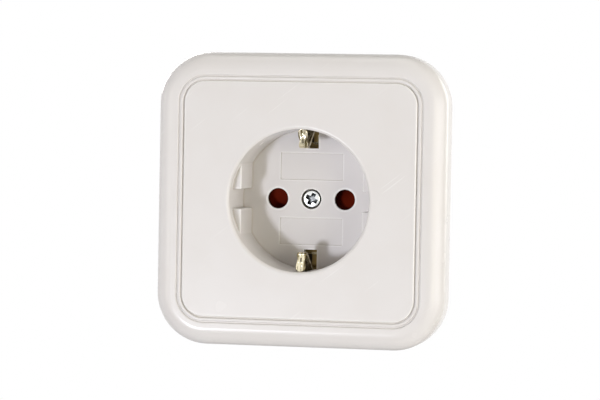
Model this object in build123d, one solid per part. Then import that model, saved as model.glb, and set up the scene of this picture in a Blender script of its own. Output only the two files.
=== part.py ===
from build123d import *
import os
from math import acos, asin, cos, degrees, radians, sin, sqrt

# Flush wall socket for two round pins, with side earth clips, a shuttered well and spreading claws.
# Millimetres. X to the right, Z up, Y into the wall; the origin is on the socket's axis in the wall plane.

# Centre plate and plug well
plate_side = 64.8
plate_thick = 2.2
plate_corner_r = 6.0
plate_edge_r = 0.5
plate_lip = 0.6
plate_lip_width = 1.4
well_r = 19.5
well_depth = 17.5
well_wall = 2.0
floor_thick = 2.0
rim_round = 0.9
flat_inset = 2.6
flat_drop = 4.0
flat_edge_r = 0.4
guide_width = 5.4
pin_spacing = 19.0
pin_hole_r = 2.75
pin_mouth_r = 0.55
panel_width = 17.7
panel_height = 7.5
panel_z = 9.05
panel_depth = 0.25
plate_rib_thick = 1.2
plate_rib_drop = 2.4
plate_rib_count = 8

# Surround frame, counted outward from the plate
plate_gap = 0.3
bead_width = 0.9
groove_width = 0.35
groove_depth = 0.4
bead_round = 0.35
border_flat = 1.6
edge_round = 4.7
frame_depth = 10.5
frame_wall = 2.0
frame_corner_r = 14.2
collar_wall = 1.6
collar_depth = 3.7
frame_rib_thick = 1.2
frame_rib_height = 4.0
frame_rib_pitch = 20.0

# Fixing screw of the centre plate
cover_screw_head_r = 2.5
cover_screw_head = 2.0
cover_screw_sink = 0.1
cover_screw_r = 1.5
cover_screw_grip = 4.0
cover_screw_gap = 0.325
shank_gap = 0.2
boss_wall = 1.4
cross_reach = 1.63
cross_width = 1.07
cross_depth = 1.2
cross_turn = -27.0

# Shutter, its spring and its retainer
shutter_thick = 3.9
shutter_gap = 0.25
shutter_running = 0.05
hub_wall = 1.9
hub_thick = 2.4
blade_margin = 0.6
blade_inner_gap = 0.4
ramp_drop = 2.9
retainer_thick = 1.2
retainer_rim = 0.4
pin_window_gap = 0.5
post_r = 1.4
post_angle = 75.0
post_gap = 0.05
stop_thick = 1.2
stop_height = 3.0
stop_gap = 0.3
wire_r = 0.25
wire_gap = 0.3

# Base block and contacts
base_corner_r = 4.0
base_floor = 3.4
base_gap = 0.8
base_edge = 0.8
pillar_gap = 0.4
pillar_wall = 2.33
pocket_gap = 0.3
contact_length = 13.6
contact_thick = 0.8
contact_width = 6.0
throat_half = 2.15
throat_set_back = 2.0
fork_half = 3.3
fork_flare = 3.6
fork_bend_r = 1.0
tab_sink = 1.2
tab_margin = 0.4
core_depth = 4.5
core_wall = 1.6
core_web = 2.0
core_side = 4.5
core_corner_r = 1.5
guard_wall = 1.6
guard_gap = 0.3
guard_root = 5.0
guard_side = 1.0

# Terminals
terminal_out = 1.5
clamp_gap = 0.45
terminal_head_r = 2.8
terminal_head = 2.4
terminal_r = 1.75
terminal_grip = 7.0
terminal_hole_gap = 0.05
terminal_bore_gap = 0.4
driver_slot_width = 1.0
driver_slot_depth = 1.0
clamp_half = 3.5
clamp_corner_r = 2.4
clamp_thick = 1.0
wire_room = 1.0
clamp_lip = 1.0
wire_way_width = 6.0
wire_way_depth = 3.0
wire_groove_depth = 3.6

# Earth strap and its clips
strap_width = 8.0
strap_thick = 0.6
clip_width = 2.7
clip_set_out = 0.16
clip_apex_z = 13.8
clip_apex_drop = 6.1
clip_tip_drop = 4.3
clip_tip_in = 0.1
clip_tip_r = 1.15
dimple_from_tip = 1.5
dimple_r = 1.2
dimple_depth = 0.22
clip_waist_from_tip = 3.3
clip_waist_r = 2.0
clip_waist_in = 0.3
clip_slit_length = 1.3
clip_slit_width = 0.4
clip_heel_drop = 15.5
clip_apex_r = 1.4
clip_heel_r = 2.0
clip_bend_r = 1.3
slot_side_gap = 0.5
slot_lead = 0.15
slot_front_gap = 0.8
strap_rivet_r = 1.2
strap_rivet_head_r = 2.0
strap_rivet_head = 0.5
strap_rivet_depth = 6.0
strap_rivet_z = 8.0

# Support ring, its screws and the wall box slots
ring_edge_gap = 0.5
ring_thick = 1.2
ring_clear = 0.8
box_screw_spacing = 60.0
box_slot_r = 2.1
box_slot_length = 7.0
box_slot_wall = 1.5
ring_screw_inset = 2.7
ring_screw_r = 1.5
ring_screw_head_r = 2.5
ring_screw_head = 1.6
ring_screw_depth = 9.0
ring_screw_gap = 0.05

# Spreading claws
claw_width = 10.0
claw_thick = 1.4
claw_length = 22.5
claw_tab_width = 7.0
claw_tooth_reach = 4.7
claw_tooth_count = 4
claw_tooth_depth = 1.3
claw_side_gap = 0.6
claw_pin_r = 1.0
claw_pin_drop = 2.6
claw_pin_running = 0.05
claw_pin_head_r = 1.6
claw_pin_head = 0.6
knuckle_wall = 0.75
knuckle_side_gap = 0.4
ear_thick = 1.2
ear_wall = 0.8
claw_screw_r = 1.5
claw_screw_head_r = 2.75
claw_screw_head = 2.0
claw_screw_length = 14.0
claw_screw_gap = 0.1
claw_tab_end = 2.0
claw_slot_shift = 0.75
claw_slot_play = 0.3

# Depths, from the front of the plate to the back of the base
wall_y = 0.0
front_y = wall_y - frame_depth
plate_rear_y = front_y + plate_thick
lip_rear_y = front_y + plate_lip
collar_rear_y = front_y + collar_depth
floor_y = front_y + well_depth
floor_rear_y = floor_y + floor_thick
shutter_front_y = floor_rear_y + shutter_gap
shutter_rear_y = shutter_front_y + shutter_thick
retainer_front_y = shutter_rear_y + shutter_gap
retainer_rear_y = retainer_front_y + retainer_thick
base_front_y = retainer_rear_y + base_gap
strap_rear_y = base_front_y + strap_thick
tab_front_y = base_front_y + tab_sink
tab_rear_y = tab_front_y + contact_thick
contact_rear_y = base_front_y + contact_length
base_rear_y = contact_rear_y + base_floor
ring_front_y = wall_y - ring_thick
flat_front_y = front_y + flat_drop
screw_front_y = floor_y + cover_screw_sink
screw_seat_y = screw_front_y + cover_screw_head
slot_front_y = front_y + clip_tip_drop - slot_front_gap

# Half widths and radii that follow from the sizes above
plate_half = plate_side / 2
opening_half = plate_half + plate_gap
bead_half = opening_half + bead_width
groove_half = bead_half + groove_width
ring_half = (box_screw_spacing + box_slot_length) / 2 + box_slot_wall
frame_half = max(groove_half + border_flat + edge_round, ring_half + ring_edge_gap + frame_wall)
hollow_half = frame_half - frame_wall
seat_half = opening_half - plate_lip_width
opening_corner_r = plate_corner_r + plate_gap
well_outer_r = well_r + well_wall
flat_x = well_r - flat_inset
pin_x = pin_spacing / 2
clip_z = well_r + clip_set_out
slot_half = clip_width / 2 + slot_side_gap
screw_pocket_r = cover_screw_head_r + cover_screw_gap
screw_hole_r = cover_screw_r + shank_gap
boss_r = screw_pocket_r + boss_wall
hub_bore_r = boss_r + shutter_running
hub_r = hub_bore_r + hub_wall
coil_r = boss_r + wire_r + wire_gap
blade_inner_r = coil_r + wire_r + blade_inner_gap
blade_outer_r = pin_x + pin_hole_r + blade_margin
blade_half_angle = degrees(2 * asin((pin_hole_r + blade_margin) / pin_x / 2))
retainer_r = blade_outer_r + retainer_rim
post_reach = blade_outer_r - post_r - blade_margin
terminal_x = pin_x + terminal_out
tab_half = clamp_half + tab_margin
clamp_reach = (clamp_half - clamp_corner_r) * sqrt(2) + clamp_corner_r
terminal_at_r = retainer_r + clamp_gap + clamp_reach
terminal_z = sqrt(terminal_at_r**2 - terminal_x**2)
pillar_r = max(well_outer_r, terminal_at_r + clamp_reach) + pillar_gap
ring_corner_r = frame_corner_r - frame_wall - ring_edge_gap
ring_bore_r = well_outer_r + ring_clear
ring_screw_at = (pillar_r + pillar_wall + ring_screw_r + ring_screw_gap) / sqrt(2)
base_half = ring_screw_at + ring_screw_inset
fork_reach = fork_flare + contact_thick
groove_inner = base_half - wire_groove_depth
pillar_side = terminal_x + wire_way_width / 2
knuckle_r = claw_pin_r + claw_pin_running + knuckle_wall
claw_pin_x = max(well_outer_r, base_half) + claw_side_gap + knuckle_r
claw_pin_y = wall_y + claw_pin_drop
claw_screw_x = claw_pin_x + knuckle_r + claw_screw_r + claw_screw_gap


def slab(sketch, front, rear):
    """A prism of a front-view sketch between two depths."""
    return extrude(Plane.XZ.offset(-front) * sketch, front - rear)


def rounded_square(half, corner_r):
    """Front view of a square with rounded corners."""
    return RectangleRounded(2 * half, 2 * half, corner_r)


def span(x_low, x_high, z_low, z_high):
    """Front view of a rectangle given by its sides."""
    centre = Pos((x_low + x_high) / 2, (z_low + z_high) / 2)
    return centre * Rectangle(x_high - x_low, z_high - z_low)


def polar_point(radius, angle):
    """Front-view point at a radius and an angle from the X axis."""
    return (radius * cos(radians(angle)), radius * sin(radians(angle)))


def polar(radius, angle):
    """Front-view place at a radius and an angle from the X axis."""
    return Pos(*polar_point(radius, angle))


def front_edges(shape):
    """The edges that lie furthest forward."""
    return shape.edges().group_by(Axis.Y)[0]


def circles_at(shape, radius, depth):
    """The round edges of one radius at one depth."""
    rounds = shape.edges().filter_by(GeomType.CIRCLE)
    return rounds.filter_by(lambda e: abs(e.radius - radius) < 1e-4 and abs(e.center().Y - depth) < 1e-4)


def bent_strip(points, radii, width, thickness):
    """Sheet strip whose side view follows (y, z) points, with a bend radius at each corner."""
    path = FilletPolyline(*[(0, y, z) for y, z in points], radius=radii)
    section = Plane(path @ 0, x_dir=(1, 0, 0), z_dir=path % 0) * Rectangle(width, thickness)
    return sweep(section, path)


def slotted_screw(head_r, head, shank_r, length, head_front):
    """Screw along Y with a plain driver slot; the head starts at head_front."""
    screw = slab(Circle(head_r), head_front, head_front + head)
    screw += slab(Circle(shank_r), head_front + head, head_front + head + length)
    return screw - slab(Rectangle(2 * head_r, driver_slot_width), head_front, head_front + driver_slot_depth)


def clip_bend_low():
    """How near to the socket's axis the bend of an earth clip comes, along Z."""
    to_tip = Vector(clip_tip_drop - clip_apex_drop, clip_z - clip_tip_in - clip_apex_z).normalized()
    to_heel = Vector(clip_heel_drop - clip_apex_drop, clip_z - clip_apex_z).normalized()
    half_angle = radians(to_tip.get_angle(to_heel) / 2)
    centre_z = clip_apex_z + (to_tip + to_heel).normalized().Y * clip_apex_r / sin(half_angle)
    return centre_z - clip_apex_r - strap_thick / 2


def surround_form(inset):
    """The outer form of the surround, drawn in by an inset."""
    form = slab(rounded_square(frame_half - inset, frame_corner_r - inset), front_y + inset, wall_y)
    return fillet(front_edges(form), edge_round - inset)


def make_frame():
    """Hollow surround with a rounded edge, a bead and groove, and a seat for the plate's lip."""
    seat_corner_r = opening_corner_r - plate_lip_width
    collar = rounded_square(seat_half + collar_wall, seat_corner_r + collar_wall)
    body = surround_form(0) - surround_form(frame_wall)
    body += slab(collar, front_y + frame_wall / 2, collar_rear_y)
    rib_length = hollow_half - opening_half
    rib_centre = opening_half + rib_length / 2
    for turn in range(4):
        for place in (-frame_rib_pitch, 0, frame_rib_pitch):
            rib = Pos(rib_centre, place) * Rectangle(rib_length + frame_wall, frame_rib_thick)
            rib = slab(rib, front_y, front_y + frame_wall + frame_rib_height)
            body += Rot(0, 90 * turn, 0) * (rib & surround_form(frame_wall / 2))
    body -= slab(rounded_square(opening_half, opening_corner_r), front_y, lip_rear_y)
    body -= slab(rounded_square(seat_half, seat_corner_r), front_y, wall_y)
    groove = rounded_square(groove_half, opening_corner_r + bead_width + groove_width)
    groove -= rounded_square(bead_half, opening_corner_r + bead_width)
    body -= slab(groove, front_y, front_y + groove_depth)
    rims = front_edges(body).filter_by(lambda e: abs(e.center().X) < groove_half + 1e-3)
    rims = rims.filter_by(lambda e: abs(e.center().Z) < groove_half + 1e-3)
    return fillet(rims, bead_round)


def make_side_flats():
    """The two flats of the well, each split by a guide groove."""
    chord = Circle(well_r + well_wall / 2) & span(flat_x, well_outer_r, -well_r, well_r)
    right = slab(chord - Rectangle(2 * well_outer_r, guide_width), flat_front_y, floor_y + floor_thick / 2)
    worn = front_edges(right).filter_by(GeomType.LINE)
    lips = right.edges().filter_by(Axis.Y).filter_by(lambda e: abs(e.center().X - flat_x) < 1e-3)
    worn += lips.filter_by(lambda e: abs(e.center().Z) < guide_width)
    right = fillet(worn, flat_edge_r)
    return right + mirror(right, Plane.YZ)


def make_cover_plate():
    """Centre plate and plug well in one moulding."""
    lip = slab(rounded_square(plate_half, plate_corner_r), front_y, lip_rear_y)
    lip = fillet(front_edges(lip), plate_edge_r)
    inner = rounded_square(plate_half - plate_lip_width, plate_corner_r - plate_lip_width)
    body = lip + slab(inner, front_y + plate_lip / 2, plate_rear_y)
    body += slab(Circle(well_outer_r), plate_rear_y, floor_rear_y)
    rib_length = seat_half - well_r - plate_gap
    for count in range(plate_rib_count):
        rib = Pos(well_r + well_wall / 2 + rib_length / 2, 0) * Rectangle(rib_length, plate_rib_thick)
        rib = slab(rib, plate_rear_y, plate_rear_y + plate_rib_drop)
        body += Rot(0, 360 * (count + 0.5) / plate_rib_count, 0) * rib
    body -= slab(Circle(well_r), front_y, floor_y)
    body = fillet(circles_at(body, well_r, front_y), rim_round)
    body += make_side_flats()
    for side in (-1, 1):
        panel = Pos(0, side * panel_z) * Rectangle(panel_width, panel_height)
        body -= slab(panel, floor_y, floor_y + panel_depth)
        body -= slab(Pos(side * pin_x, 0) * Circle(pin_hole_r), floor_y, floor_rear_y)
    body = fillet(circles_at(body, pin_hole_r, floor_y), pin_mouth_r)
    slot_low = clip_bend_low() - slot_lead
    for side in (-1, 1):
        low, high = sorted((side * slot_low, side * (well_outer_r + well_wall)))
        body -= slab(span(-slot_half, slot_half, low, high), slot_front_y, floor_rear_y)
    body += slab(Circle(boss_r), floor_rear_y, retainer_front_y)
    for angle in (post_angle, post_angle + 180):
        body += slab(polar(post_reach, angle) * Circle(post_r), floor_rear_y, retainer_rear_y)
    stop = Pos((hub_r + blade_outer_r) / 2, stop_gap + stop_thick / 2)
    stop *= Rectangle(blade_outer_r - hub_r - 2 * stop_gap, stop_thick)
    for turn in (0, 180):
        rib = Rot(0, 0, blade_half_angle + turn) * stop
        body += slab(rib, floor_rear_y, floor_rear_y + stop_height)
    body -= slab(Circle(screw_pocket_r), floor_y, screw_seat_y)
    return body - slab(Circle(screw_hole_r), floor_y, retainer_front_y)


def make_cover_screw():
    """Pan-head fixing screw with a cross recess, down into the earth strap."""
    tip_y = strap_rear_y + cover_screw_grip
    screw = slab(Circle(cover_screw_head_r), screw_front_y, screw_seat_y)
    screw += slab(Circle(cover_screw_r), screw_seat_y, tip_y)
    for turn in (0, 90):
        arm = Rot(0, 0, cross_turn + turn) * Rectangle(2 * cross_reach, cross_width)
        screw -= slab(arm, screw_front_y, screw_front_y + cross_depth)
    return screw


def make_shutter():
    """Hub with two blades; a sloping face on each lets a pair of pins turn it aside."""
    wedge = make_face(Polyline(
        (0, 0),
        polar_point(2 * blade_outer_r, -blade_half_angle),
        polar_point(2 * blade_outer_r, blade_half_angle),
        close=True,
    ))
    sector = wedge & (Circle(blade_outer_r) - Circle(blade_inner_r))
    half_chord = blade_outer_r * sin(radians(blade_half_angle))
    slope = make_face(Polyline(
        (shutter_front_y, half_chord),
        (shutter_front_y, -half_chord),
        (shutter_front_y + ramp_drop, -half_chord),
        close=True,
    ))
    left_cut = extrude(Plane.YZ.offset(-blade_outer_r) * slope, blade_outer_r)
    left = slab(Rot(0, 0, 180) * sector, shutter_front_y, shutter_rear_y) - left_cut
    ring = Circle(hub_r) - Circle(hub_bore_r)
    hub = slab(ring, shutter_front_y, shutter_front_y + hub_thick)
    return hub + left + Rot(0, 180, 0) * left


def make_shutter_spring():
    """Hairpin wire round the boss, from the lower post to the upper edge of the left blade."""
    wire_y = (shutter_front_y + hub_thick + shutter_rear_y) / 2
    reach = coil_r + post_r + wire_r + wire_gap
    start = post_angle + 180 - 360 + degrees(acos(reach / post_reach))
    touch = blade_half_angle + degrees((wire_r + wire_gap) / pin_x)
    end = 180 - touch - degrees(acos(coil_r / pin_x))
    arc = CenterArc((0, 0), coil_r, start, end - start)
    leg_length = sqrt(pin_x**2 - coil_r**2)
    first = arc @ 0 - (arc % 0) * leg_length
    last = arc @ 1 + (arc % 1) * leg_length
    path = Plane.XZ.offset(-wire_y) * Wire([Line(first, arc @ 0), arc, Line(arc @ 1, last)])
    section = Plane(path @ 0, z_dir=path % 0) * Circle(wire_r)
    return sweep(section, path)


def make_shutter_retainer():
    """Disc that keeps the shutter on its boss, held on two posts."""
    disc = Circle(retainer_r) - Circle(screw_hole_r)
    for side in (-1, 1):
        disc -= Pos(side * pin_x, 0) * Circle(pin_hole_r + pin_window_gap)
    for angle in (post_angle, post_angle + 180):
        disc -= polar(post_reach, angle) * Circle(post_r + post_gap)
    return slab(disc, retainer_front_y, retainer_rear_y)


def make_contact():
    """Right contact: a sprung fork bent from strip, one leaf ending in a terminal tab."""
    centre_y = tab_front_y + contact_thick / 2
    throat_y = centre_y + throat_set_back
    throat_z = throat_half + contact_thick / 2
    heel_y = contact_rear_y - contact_thick / 2
    route = [
        (centre_y, fork_flare),
        (throat_y, throat_z),
        (heel_y, fork_half),
        (heel_y, -fork_half),
        (throat_y, -throat_z),
        (centre_y, -fork_flare),
        (centre_y, -terminal_z),
    ]
    fork = Pos(pin_x, 0, 0) * bent_strip(route, fork_bend_r, contact_width, contact_thick)
    tab = span(
        pin_x - contact_width / 2,
        terminal_x + tab_half,
        -terminal_z - tab_half,
        -terminal_z + tab_half,
    )
    body = fork + slab(tab, tab_front_y, tab_rear_y)
    hole = Pos(terminal_x, -terminal_z) * Circle(terminal_r + terminal_hole_gap)
    return body - slab(hole, tab_front_y, tab_rear_y)


def make_clamp(seat_y):
    """Wire clamp: a plate with two turned-down lips standing on the terminal's tab."""
    top_y = seat_y - wire_room - clamp_thick
    outline = rounded_square(clamp_half, clamp_corner_r)
    lips = outline - Rectangle(2 * (clamp_half - clamp_lip), 2 * clamp_half)
    body = slab(outline, top_y, top_y + clamp_thick) + slab(lips, top_y + clamp_thick, seat_y)
    return body - slab(Circle(terminal_r + terminal_hole_gap), top_y, seat_y)


def make_terminal_screw(seat_y):
    """Terminal screw that bears on the clamp."""
    head_front = seat_y - wire_room - clamp_thick - terminal_head
    length = wire_room + clamp_thick + terminal_grip
    return slotted_screw(terminal_head_r, terminal_head, terminal_r, length, head_front)


def strap_outline():
    """Front view of the flat middle of the earth strap, with its terminal lug."""
    lug = span(0, terminal_x + tab_half, terminal_z - tab_half, terminal_z + tab_half)
    return Rectangle(strap_width, 2 * clip_z - strap_width) + lug


def make_earth_strap():
    """One stamping: a bridge across the base whose ends bend forward into sprung earth clips."""
    bridge_y = base_front_y + strap_thick / 2
    half_route = [
        (front_y + clip_tip_drop, clip_z - clip_tip_in),
        (front_y + clip_apex_drop, clip_apex_z),
        (front_y + clip_heel_drop, clip_z),
        (bridge_y, clip_z),
    ]
    route = half_route + [(y, -z) for y, z in reversed(half_route)]
    bends = [clip_apex_r, clip_heel_r, clip_bend_r]
    body = bent_strip(route, bends + bends[::-1], clip_width, strap_thick)
    body += slab(strap_outline(), base_front_y, strap_rear_y)
    tip_y, tip_z = half_route[0]
    corners = body.edges().filter_by(lambda e: abs(e.length - strap_thick) < 1e-3)
    corners = corners.filter_by(lambda e: e.center().Y < tip_y + strap_thick)
    body = fillet(corners, clip_tip_r)
    leg = Vector(0, clip_apex_drop - clip_tip_drop, clip_apex_z - tip_z).normalized()
    outward = Vector(0, leg.Z, -leg.Y)
    lift = strap_thick / 2 + dimple_r - dimple_depth
    cut = Pos(Vector(0, tip_y, tip_z) + leg * dimple_from_tip + outward * lift) * Sphere(dimple_r)
    waist = Plane(Vector(0, tip_y, tip_z) + leg * clip_waist_from_tip, x_dir=(1, 0, 0), z_dir=outward)
    profile = SlotOverall(clip_slit_length, clip_slit_width, rotation=90)
    for side in (-1, 1):
        profile += Pos(side * (clip_width / 2 + clip_waist_r - clip_waist_in), 0) * Circle(clip_waist_r)
    cut += extrude(waist * profile, strap_thick, both=True)
    body -= cut
    body -= mirror(cut, Plane.XY)
    body -= slab(Circle(cover_screw_r + terminal_hole_gap), base_front_y, strap_rear_y)
    for side in (-1, 1):
        rivet = Pos(0, side * strap_rivet_z) * Circle(strap_rivet_r + terminal_hole_gap)
        body -= slab(rivet, base_front_y, strap_rear_y)
    hole = Pos(terminal_x, terminal_z) * Circle(terminal_r + terminal_hole_gap)
    return body - slab(hole, base_front_y, strap_rear_y)


def make_strap_rivets():
    """The two rivets of the earth strap, as separate solids."""
    rivet = slab(Circle(strap_rivet_head_r), base_front_y - strap_rivet_head, base_front_y)
    rivet += slab(Circle(strap_rivet_r), base_front_y, base_front_y + strap_rivet_depth)
    return Compound([Pos(0, 0, side * strap_rivet_z) * rivet for side in (-1, 1)])


def wire_groove(side):
    """Front view of the groove that brings a wire along the base's side to its terminal."""
    low, high = sorted((side * base_half, side * groove_inner))
    return span(terminal_x - wire_way_width / 2, terminal_x + wire_way_width / 2, low, high)


def core_pockets():
    """The two moulding recesses in the right half of the base's back."""
    low = fork_reach + core_wall
    high = groove_inner - core_wall
    left = core_web / 2
    right = base_half - core_side
    recess = Pos((left + right) / 2, (low + high) / 2)
    recess *= RectangleRounded(right - left, high - low, core_corner_r)
    upper = slab(recess, base_rear_y - core_depth, base_rear_y)
    return upper + mirror(upper, Plane.XY)


def clip_guards():
    """The two walls of the base that stand behind the earth clips and reach over the well's slots."""
    half = terminal_x - wire_way_width / 2 - guard_side
    inner = clip_z + strap_thick / 2 + guard_gap
    over = well_outer_r + guard_gap
    outer = over + guard_wall
    foot_y = floor_rear_y + guard_gap
    root_y = base_front_y + guard_root
    upper = slab(span(-half, half, inner, outer), foot_y, root_y)
    upper += slab(span(-half, half, over, outer), wall_y + guard_gap, foot_y)
    upper += slab(span(-half, half, base_half - guard_wall, outer), strap_rear_y + guard_gap, root_y)
    return upper + mirror(upper, Plane.XY)


def make_base():
    """Insulating block with corner pillars up to the ring, clip guards and pockets for the metal."""
    square = rounded_square(base_half, base_corner_r)
    block = slab(square, base_front_y, base_rear_y)
    block = chamfer(block.edges().group_by(Axis.Y)[-1], base_edge)
    pillars = square - Circle(pillar_r)
    pillars -= Rectangle(2 * pillar_side, 2 * base_half)
    pillars -= Rectangle(2 * base_half, 2 * pillar_side)
    body = block + slab(pillars, wall_y, base_front_y + base_edge)
    tab_reach = tab_half + pocket_gap
    fork = span(
        pin_x - contact_width / 2 - pocket_gap,
        pin_x + contact_width / 2 + pocket_gap,
        -fork_reach,
        fork_reach,
    )
    seat = span(
        pin_x - contact_width / 2 - pocket_gap,
        terminal_x + tab_reach,
        -terminal_z - tab_reach,
        -terminal_z + tab_reach,
    )
    seat += span(
        pin_x - contact_width / 2 - pocket_gap,
        pin_x + contact_width / 2 + pocket_gap,
        -terminal_z,
        0,
    )
    way = span(terminal_x - wire_way_width / 2, terminal_x + wire_way_width / 2, -base_half, -terminal_z)
    bore = Circle(terminal_r + terminal_bore_gap)
    bore_end_y = tab_rear_y + terminal_grip + terminal_bore_gap
    pockets = slab(fork, base_front_y, contact_rear_y)
    pockets += slab(seat, base_front_y, tab_rear_y)
    pockets += slab(way, base_front_y, base_front_y + wire_way_depth)
    pockets += slab(wire_groove(-1), base_front_y, base_rear_y)
    pockets += slab(Pos(terminal_x, -terminal_z) * bore, base_front_y, bore_end_y)
    pockets += core_pockets()
    pockets += mirror(pockets, Plane.YZ)
    pockets += slab(Pos(terminal_x, terminal_z) * bore, base_front_y, bore_end_y)
    earth_way = span(terminal_x - wire_way_width / 2, terminal_x + wire_way_width / 2, terminal_z, base_half)
    pockets += slab(earth_way, base_front_y, strap_rear_y)
    pockets += slab(wire_groove(1), base_front_y, base_rear_y)
    channel = Rectangle(strap_width + 2 * pocket_gap, 2 * base_half)
    lug = span(0, terminal_x + tab_reach, terminal_z - tab_reach, terminal_z + tab_reach)
    pockets += slab(channel + lug, base_front_y, strap_rear_y)
    screw_end_y = strap_rear_y + cover_screw_grip + terminal_bore_gap
    pockets += slab(Circle(screw_hole_r), base_front_y, screw_end_y)
    for side in (-1, 1):
        rivet = Pos(0, side * strap_rivet_z) * Circle(strap_rivet_r + terminal_hole_gap)
        pockets += slab(rivet, base_front_y, base_front_y + strap_rivet_depth)
    for x in (-ring_screw_at, ring_screw_at):
        for z in (-ring_screw_at, ring_screw_at):
            hole = Pos(x, z) * Circle(ring_screw_r + ring_screw_gap)
            pockets += slab(hole, wall_y, wall_y + ring_screw_depth)
    return body - pockets + clip_guards()


def make_support_ring():
    """Flat steel ring against the wall, with box screw slots and bent ears for the claws."""
    outline = rounded_square(ring_half, ring_corner_r) - Circle(ring_bore_r)
    for side in (-1, 1):
        slot = SlotOverall(box_slot_length, 2 * box_slot_r, rotation=90)
        outline -= Pos(0, side * box_screw_spacing / 2) * slot
        claw_slot_r = claw_screw_r + claw_slot_play
        claw_slot = SlotOverall(2 * claw_slot_r + claw_slot_shift, 2 * claw_slot_r)
        outline -= Pos(side * (claw_screw_x - claw_slot_shift / 2), 0) * claw_slot
    for x in (-ring_screw_at, ring_screw_at):
        for z in (-ring_screw_at, ring_screw_at):
            outline -= Pos(x, z) * Circle(ring_screw_r + ring_screw_gap)
    ring = slab(outline, ring_front_y, wall_y)
    ear_r = claw_pin_r + ear_wall
    profile = Pos(claw_pin_x, claw_pin_y) * Circle(ear_r)
    profile += span(claw_pin_x - ear_r, claw_pin_x + ear_r, ring_front_y, claw_pin_y)
    profile -= Pos(claw_pin_x, claw_pin_y) * Circle(claw_pin_r)
    ear = extrude(Plane.XY.offset(claw_width / 2 + knuckle_side_gap) * profile, ear_thick)
    ears = ear + mirror(ear, Plane.XY)
    return ring + ears + mirror(ears, Plane.YZ)


def make_ring_screws():
    """The four screws between ring and base, as separate solids."""
    screw = slotted_screw(
        ring_screw_head_r,
        ring_screw_head,
        ring_screw_r,
        ring_thick + ring_screw_depth,
        ring_front_y - ring_screw_head,
    )
    places = [(x, z) for x in (-ring_screw_at, ring_screw_at) for z in (-ring_screw_at, ring_screw_at)]
    return Compound([Pos(x, 0, z) * screw for x, z in places])


def make_claw():
    """Right claw: a knuckle, a tapped tab for its draw screw and a leg with a toothed end."""
    knuckle = Pos(claw_pin_x, claw_pin_y) * Circle(knuckle_r)
    leg_x = claw_pin_x - knuckle_r
    leg_end_y = claw_pin_y + claw_length
    leg = span(leg_x, leg_x + claw_thick, claw_pin_y, leg_end_y)
    foot = span(leg_x, leg_x + claw_tooth_reach, leg_end_y - claw_thick, leg_end_y)
    body = extrude(Plane.XY * (knuckle + leg + foot), claw_width / 2, both=True)
    tab_rear = claw_pin_y + knuckle_r
    tab = span(claw_pin_x, claw_screw_x + claw_tab_end, tab_rear - claw_thick, tab_rear)
    body += extrude(Plane.XY * tab, claw_tab_width / 2, both=True)
    bore = Pos(claw_pin_x, claw_pin_y) * Circle(claw_pin_r + claw_pin_running)
    body -= extrude(Plane.XY * bore, claw_width, both=True)
    pitch = claw_width / claw_tooth_count
    toe_x = leg_x + claw_tooth_reach
    for count in range(claw_tooth_count - 1):
        notch_z = -claw_width / 2 + pitch * (count + 1)
        notch = make_face(Polyline(
            (toe_x, notch_z - pitch / 2),
            (toe_x, notch_z + pitch / 2),
            (toe_x - claw_tooth_depth, notch_z),
            close=True,
        ))
        body -= slab(notch, leg_end_y - claw_thick, leg_end_y)
    hole = Pos(claw_screw_x, 0) * Circle(claw_screw_r + terminal_hole_gap)
    return body - slab(hole, tab_rear - claw_thick, tab_rear)


def make_claw_screw():
    """Draw screw of the right claw, through the ring into the claw's tab."""
    head_front = ring_front_y - claw_screw_head
    screw = slotted_screw(claw_screw_head_r, claw_screw_head, claw_screw_r, claw_screw_length, head_front)
    return Pos(claw_screw_x, 0, 0) * screw


def make_claw_pin():
    """Hinge pin of the right claw, headed outside the ring's ears."""
    half = claw_width / 2 + knuckle_side_gap + ear_thick
    place = Pos(claw_pin_x, claw_pin_y)
    pin = extrude(Plane.XY * place * Circle(claw_pin_r), half, both=True)
    head = extrude(Plane.XY.offset(half) * place * Circle(claw_pin_head_r), claw_pin_head)
    return pin + head + mirror(head, Plane.XY)


def handed(name, right_shape):
    """A right-hand piece and its mirror image."""
    return {f"right_{name}": right_shape, f"left_{name}": mirror(right_shape, Plane.YZ)}


def build_pieces():
    """All pieces by name."""
    pieces = {
        "frame": make_frame(),
        "cover_plate": make_cover_plate(),
        "cover_screw": make_cover_screw(),
        "shutter": make_shutter(),
        "shutter_spring": make_shutter_spring(),
        "shutter_retainer": make_shutter_retainer(),
        "base": make_base(),
        "earth_strap": make_earth_strap(),
        "strap_rivets": make_strap_rivets(),
        "support_ring": make_support_ring(),
        "ring_screws": make_ring_screws(),
    }
    line_place = Pos(terminal_x, 0, -terminal_z)
    earth_place = Pos(terminal_x, 0, terminal_z)
    pieces["earth_clamp"] = earth_place * make_clamp(base_front_y)
    pieces["earth_terminal_screw"] = earth_place * make_terminal_screw(base_front_y)
    pieces |= handed("contact", make_contact())
    pieces |= handed("clamp", line_place * make_clamp(tab_front_y))
    pieces |= handed("terminal_screw", line_place * make_terminal_screw(tab_front_y))
    pieces |= handed("claw", make_claw())
    pieces |= handed("claw_screw", make_claw_screw())
    pieces |= handed("claw_pin", make_claw_pin())
    return pieces


os.makedirs("parts", exist_ok=True)
for name, shape in build_pieces().items():
    export_step(shape, f"parts/{name}.step")
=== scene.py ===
"""A white flush wall socket, dressed on top of its fixed frame of solids.

Sizes are in millimetres and turn into metres where a mesh is made. X runs to the right, Z up and Y
into the wall. The origin is on the socket's axis, in the plane of the wall.
"""

import logging
import math
from collections.abc import Iterable, Sequence
from dataclasses import dataclass, field, replace
from enum import Enum

import bmesh
import bpy
from mathutils import Matrix, Vector


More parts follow.
